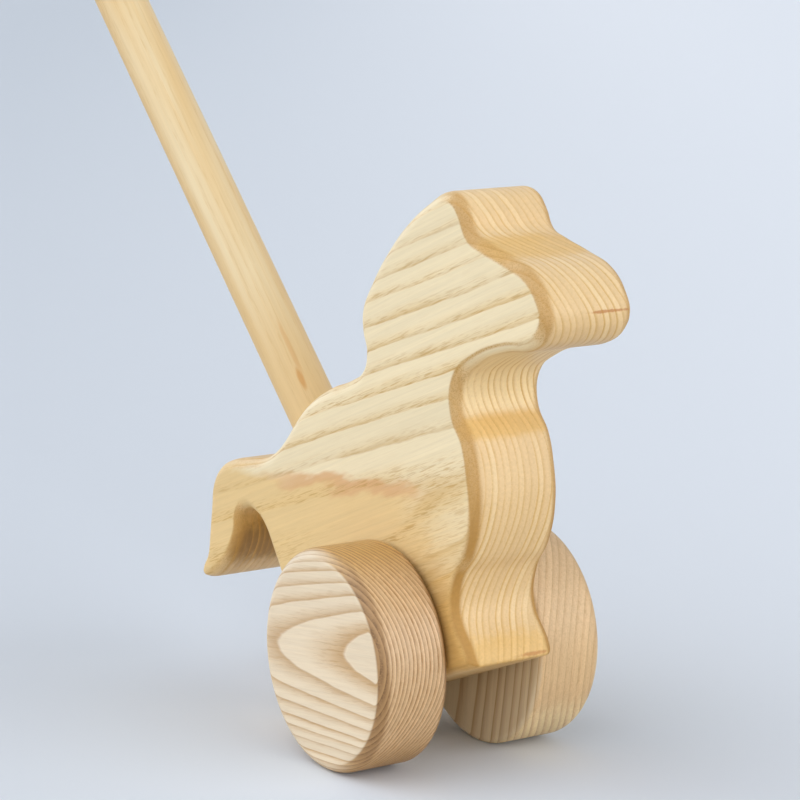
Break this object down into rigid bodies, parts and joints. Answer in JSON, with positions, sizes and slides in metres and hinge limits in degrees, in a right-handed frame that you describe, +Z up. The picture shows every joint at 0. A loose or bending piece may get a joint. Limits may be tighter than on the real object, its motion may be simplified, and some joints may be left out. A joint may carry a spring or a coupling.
{
  "type": "push-along horse",
  "caption": "Wooden push-along horse: a thick plank sawn to a rounded horse outline, on wheels fixed to a turning axle, with a long push stick in its back; at rest it leans on its heel.",
  "frame": {"origin": "on the floor, under the middle of the whole toy's box", "axes": "+X the way the horse looks, +Y to its left, +Z up; the mirror plane is Y = 0"},
  "size_m": [0.469, 0.082, 0.411],
  "materials": {
    "plank_wood": "oiled satin, pale ash",
    "stick_wood": "oiled satin, pale ash",
    "axle_wood": "bare dowel",
    "wheel_wood": "oiled satin, pinkish"
  },
  "bodies": {
    "horse": {"horse_body": "plank_wood", "push_stick": "stick_wood"},
    "wheel_set": {"axle": "axle_wood", "left_wheel": "wheel_wood", "right_wheel": "wheel_wood"}
  },
  "joints": [
    {"name": "wheel_roll", "type": "hinge", "parent": "horse", "child": "wheel_set", "pos_m": [0.15412, 0, 0.035], "axis": [0, 1, 0], "continuous": true}
  ]
}
